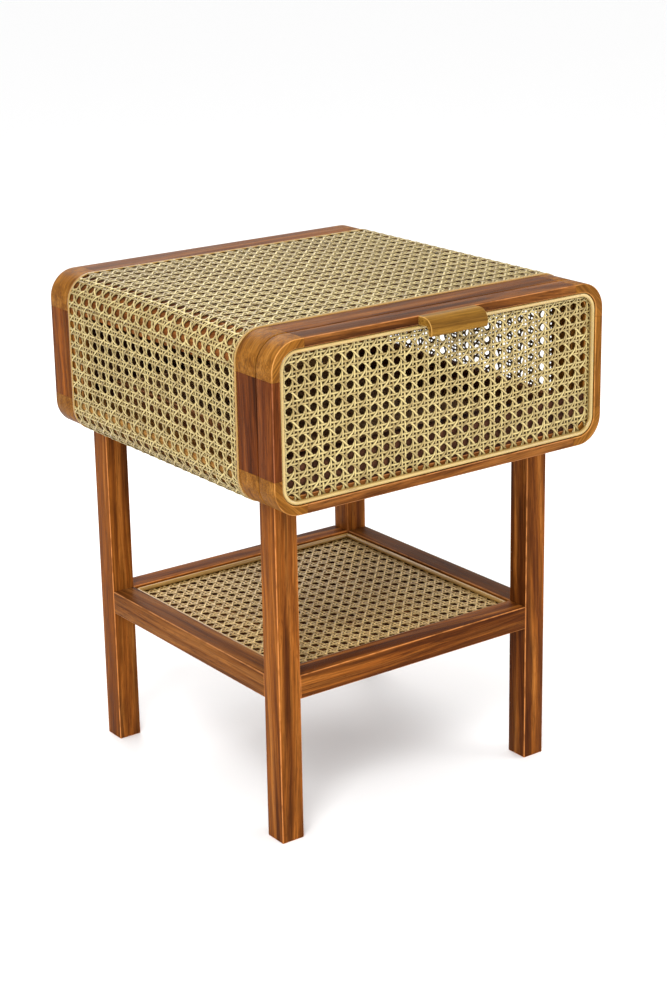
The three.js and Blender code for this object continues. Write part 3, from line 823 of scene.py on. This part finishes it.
for end in ("front", "back"):
    for side in ("left", "right"):
        beam(f"leg_{end}_{side}", 2, "table", teak, "teak")
    beam(f"shelf_rail_{end}", 0, "table", teak, "teak")
for side in ("left", "right"):
    beam(f"shelf_rail_{side}", 1, "table", red_teak, "teak_dark")
    beam(f"drawer_side_{side}", 1, "drawer", box_wood, "teak", 0.002)
beam("drawer_back", 0, "drawer", pale_wood, "teak", 0.002)

STRAIGHTS = {"left": (dark_teak, "teak_dark"), "right": (honey, "teak_dark"),
             "top": (red_teak, "teak"), "bottom": (red_teak, "teak")}
make_ring("drawer_ring", "front", "drawer", STRAIGHTS)
make_ring("front_ring", None, "table", STRAIGHTS)
make_ring("back_ring", "back", "table", {**STRAIGHTS, "left": (orange_teak, "teak_dark")})
for side in ("left", "right"):
    make_tongue(side)
make_pull()

flat_cane("drawer_cane", "drawer_cane_woven", DRAWER_PITCH, DRAWER_SHIFT, "drawer", -1, 0.005)
flat_cane("back_cane", "back_cane_woven", BACK_PITCH, BACK_SHIFT, "table", 1)
bead("drawer_bead", "drawer_bead_reed", "drawer")
bead("back_bead", "back_bead_reed", "table")
wrap_cane()
wrap_trim("trim_front")
wrap_trim("trim_back")
shelf_cane()
shelf_bead()

for name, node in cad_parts.items():
    if not node.hide_render:
        finish = inner_teak
        if name.startswith("corner_rail"):
            finish = upper_rail if "top" in name else lower_rail
        elif name == "shelf_panel":
            finish = shelf_board
        elif name == "drawer_bottom":
            finish = floor_board
        elif name == "drawer_box_front":
            finish = front_board
        elif name.endswith("_board"):
            finish = board
        for slot in node.material_slots:
            slot.link = "OBJECT"
            slot.material = finish


# ---------------------------------------------------------------- studio

def add_light(name, place, aim, size, power, colour=(1, 1, 1)):
    """A soft square light turned towards a point."""
    data = bpy.data.lights.new(name, "AREA")
    data.shape, data.size, data.size_y = "RECTANGLE", size[0], size[1]
    data.energy, data.color = power, colour
    light = bpy.data.objects.new(name, data)
    bpy.context.scene.collection.objects.link(light)
    light.location = place
    from_aim = np.array(place) - np.array(aim)
    turn = math.atan2(from_aim[1], from_aim[0]) + math.pi / 2
    light.rotation_euler = (math.acos(from_aim[2] / np.linalg.norm(from_aim)), 0, turn)


def make_studio():
    """A pale floor, a pale even surround, and three soft lights."""
    mesh = bpy.data.meshes.new("floor")
    side = 12.0
    mesh.from_pydata([(-side, -side, 0), (side, -side, 0), (side, side, 0), (-side, side, 0)], [],
                     [(0, 1, 2, 3)])
    paint = bpy.data.materials.new("Pale floor")
    paint.use_nodes = True
    shader = paint.node_tree.nodes["Principled BSDF"]
    shader.inputs["Base Color"].default_value = (0.97, 0.97, 0.97, 1)
    shader.inputs["Roughness"].default_value = 0.9
    mesh.materials.append(paint)
    floor = bpy.data.objects.new("floor", mesh)
    bpy.context.scene.collection.objects.link(floor)
    world = bpy.data.worlds.new("Surround")
    world.use_nodes = True
    world.node_tree.nodes["Background"].inputs["Color"].default_value = (1.0, 1.0, 1.0, 1)
    world.node_tree.nodes["Background"].inputs["Strength"].default_value = 1.0
    bpy.context.scene.world = world
    bpy.context.scene.view_settings.view_transform = "Standard"
    middle = (0.0, 0.0, 0.4)
    add_light("key", (-1.7, -1.6, 2.3), middle, (1.2, 1.2), 60)
    add_light("fill", (2.3, -1.8, 1.2), middle, (1.6, 1.6), 22)
    add_light("back", (0.6, 2.2, 2.2), middle, (1.4, 1.4), 30)


def make_camera():
    """The camera, at the front left and a little above."""
    data = bpy.data.cameras.new("camera")
    data.sensor_width, data.lens, data.shift_y = 36, 75.16, -0.06
    data.clip_start, data.clip_end = 0.05, 50
    camera = bpy.data.objects.new("camera", data)
    bpy.context.scene.collection.objects.link(camera)
    camera.location = (-1.328922, -1.828091, 1.065879)
    camera.rotation_euler = [math.radians(v) for v in (73.152863, 0.944427, -36.418081)]
    bpy.context.scene.camera = camera


make_studio()
make_camera()
